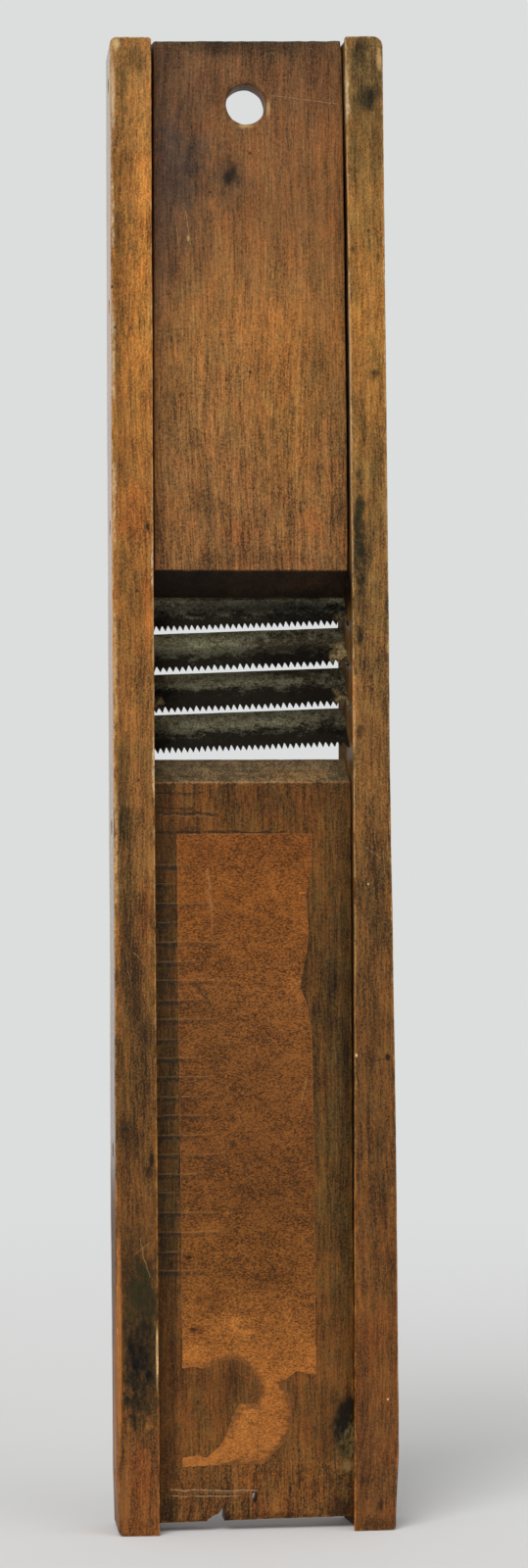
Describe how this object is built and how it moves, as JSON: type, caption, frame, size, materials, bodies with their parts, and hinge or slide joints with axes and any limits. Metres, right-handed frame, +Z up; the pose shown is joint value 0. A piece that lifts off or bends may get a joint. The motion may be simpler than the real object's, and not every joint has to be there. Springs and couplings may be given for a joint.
{
  "type": "vegetable slicer",
  "caption": "Wooden mandoline-style vegetable slicer: side rails hold an upper and a lower board, with toothed steel louvre blades between them and a hanging hole near the top.",
  "frame": {"origin": "on the floor under the middle of the slicer, which stands on the ends of its rails", "axes": "+Z up along the rails, -Y out of the front that the food slides on, +X to the right seen from the front"},
  "size_m": [0.0873, 0.0254, 0.471],
  "materials": {
    "rail_wood": "worn oiled hardwood, dark stains, bare worn edges",
    "upper_board_wood": "reddish brown, fine upright grain, satin from use",
    "lower_board_wood": "dark brown, knife scratches, satin from use",
    "blade_steel": "dark blotchy patina, blackened teeth",
    "nail_steel": "rusty",
    "label_paper": "aged brown, stained and torn, no printing"
  },
  "bodies": {
    "root": {"left_rail": "rail_wood", "right_rail": "rail_wood", "upper_board": "upper_board_wood", "lower_board": "lower_board_wood", "blade_1": "blade_steel", "blade_2": "blade_steel", "blade_3": "blade_steel", "blade_4": "blade_steel", "instruction_label": "label_paper", "left_nail_1": "nail_steel", "left_nail_2": "nail_steel", "left_nail_3": "nail_steel", "left_nail_4": "nail_steel", "left_nail_5": "nail_steel", "left_nail_6": "nail_steel", "right_nail_1": "nail_steel", "right_nail_2": "nail_steel", "right_nail_3": "nail_steel", "right_nail_4": "nail_steel", "right_nail_5": "nail_steel", "right_nail_6": "nail_steel"}
  },
  "joints": []
}
